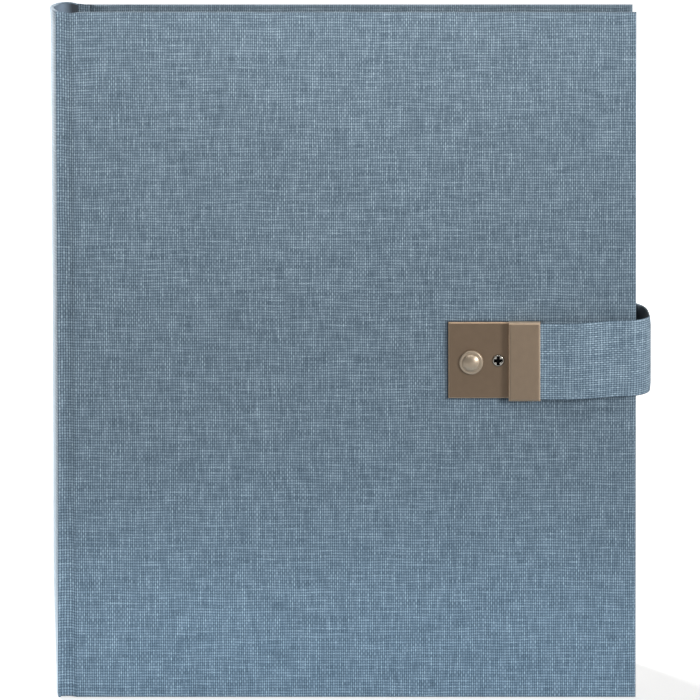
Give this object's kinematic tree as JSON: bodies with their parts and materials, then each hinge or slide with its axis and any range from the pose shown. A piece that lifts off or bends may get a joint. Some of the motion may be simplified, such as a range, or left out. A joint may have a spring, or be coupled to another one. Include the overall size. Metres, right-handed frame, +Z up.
{
  "type": "scrapbook album",
  "caption": "Linen-covered scrapbook album with a rounded spine, screw-post pages, and a fore-edge strap that latches on a push-button key lock.",
  "frame": {"origin": "bottom middle of the bounding box of the closed album standing on the bottom edges of its covers", "axes": "+Z up along the covers' height, -Y out of the front cover towards the reader, -X to the spine, +X to the fore-edge and strap"},
  "size_m": [0.2792, 0.0476, 0.317],
  "materials": {
    "linen": "plain-weave grey-blue linen",
    "strap_linen": "plain-weave linen, turned a quarter",
    "lining": "matt grey-blue lining paper",
    "strap_lining": "smooth dark lining",
    "greyboard": "raw greyboard",
    "pages": "thick uncoated ivory paper",
    "binding_steel": "satin",
    "lock_bronze": "satin taupe bronze",
    "cap_bronze": "satin taupe bronze, lighter",
    "button_metal": "semi-gloss",
    "key_metal": "worn bright",
    "works_steel": "zinc"
  },
  "bodies": {
    "rear_cover": {"rear_board": "greyboard", "rear_cloth": "linen", "rear_lining": "lining", "page_block": "pages", "leaf_stubs": "pages", "binding_bar": "binding_steel", "screw_posts": "binding_steel", "post_screws": "binding_steel", "strap_tail": "strap_linen", "tail_rivets": "lock_bronze"},
    "spine": {"spine_card": "greyboard", "spine_cloth": "linen", "spine_lining": "lining", "rear_joint_cloth": "linen"},
    "front_cover": {"front_board": "greyboard", "front_cloth": "linen", "front_lining": "lining", "front_joint_cloth": "linen", "lock_plate": "lock_bronze", "lock_case": "works_steel", "lock_back_plate": "lock_bronze", "lock_screws": "works_steel", "button_collar": "button_metal", "latch_spring": "works_steel", "key_sleeve": "lock_bronze"},
    "leaf_one": {"leaf_1": "pages"},
    "leaf_two": {"leaf_2": "pages"},
    "leaf_three": {"leaf_3": "pages"},
    "strap_side": {"strap_rear_bend": "strap_linen", "strap_loop": "strap_linen", "strap_loop_lining": "strap_lining"},
    "strap_end": {"strap_front_bend": "strap_linen", "strap_front": "strap_linen", "strap_front_lining": "strap_lining", "end_cap": "cap_bronze", "hasp": "works_steel"},
    "button": {"push_button": "button_metal"},
    "latch": {"latch_slider": "works_steel"},
    "key_cylinder": {"key_plug": "key_metal", "key_cam": "works_steel"}
  },
  "joints": [
    {"name": "cover_hinge", "type": "hinge", "parent": "spine", "child": "front_cover", "pos_m": [-0.1296, -0.0185, 0.1585], "axis": [0, 0, -1], "range_deg": [0, 90], "deforming": ["front_joint_cloth"]},
    {"name": "spine_hinge", "type": "hinge", "parent": "rear_cover", "child": "spine", "pos_m": [-0.1296, 0.0209, 0.1585], "axis": [0, 0, -1], "range_deg": [0, 90], "deforming": ["rear_joint_cloth"]},
    {"name": "leaf_one_turn", "type": "hinge", "parent": "rear_cover", "child": "leaf_one", "pos_m": [-0.1001, -0.0091, 0.1585], "axis": [0, 0, -1], "range_deg": [0, 186]},
    {"name": "leaf_two_turn", "type": "hinge", "parent": "rear_cover", "child": "leaf_two", "pos_m": [-0.1001, -0.0091, 0.1585], "axis": [0, 0, -1], "range_deg": [0, 186]},
    {"name": "leaf_three_turn", "type": "hinge", "parent": "rear_cover", "child": "leaf_three", "pos_m": [-0.1001, -0.0091, 0.1585], "axis": [0, 0, -1], "range_deg": [0, 186]},
    {"name": "strap_swing", "type": "hinge", "parent": "rear_cover", "child": "strap_side", "pos_m": [0.13692, 0.02013, 0.157], "axis": [0, 0, 1], "range_deg": [0, 90], "deforming": ["strap_rear_bend"]},
    {"name": "strap_fold", "type": "hinge", "parent": "strap_side", "child": "strap_end", "pos_m": [0.13543, -0.01873, 0.157], "axis": [0, 0, 1], "range_deg": [0, 90], "deforming": ["strap_front_bend"]},
    {"name": "button_press", "type": "slide", "parent": "front_cover", "child": "button", "axis": [0, 1, 0], "range_m": [0, 0.0012], "stiffness_N_per_m": 300, "springref_m": -0.0005},
    {"name": "latch_slide", "type": "slide", "parent": "front_cover", "child": "latch", "axis": [-1, 0, 0], "range_m": [0, 0.0012], "deforming": ["latch_spring"]},
    {"name": "key_turn", "type": "hinge", "parent": "front_cover", "child": "key_cylinder", "pos_m": [0.0691, -0.0193, 0.157], "axis": [0, 1, 0], "range_deg": [0, 90]}
  ],
  "couplings": [
    {"joint": "spine_hinge", "follows": "cover_hinge", "ratio": 1},
    {"joint": "leaf_one_turn", "follows": "cover_hinge", "ratio": 2.05},
    {"joint": "leaf_two_turn", "follows": "cover_hinge", "ratio": 1.9},
    {"joint": "leaf_three_turn", "follows": "cover_hinge", "ratio": 1.75},
    {"joint": "strap_fold", "follows": "strap_swing", "ratio": 1},
    {"joint": "latch_slide", "follows": "button_press", "ratio": 1}
  ]
}
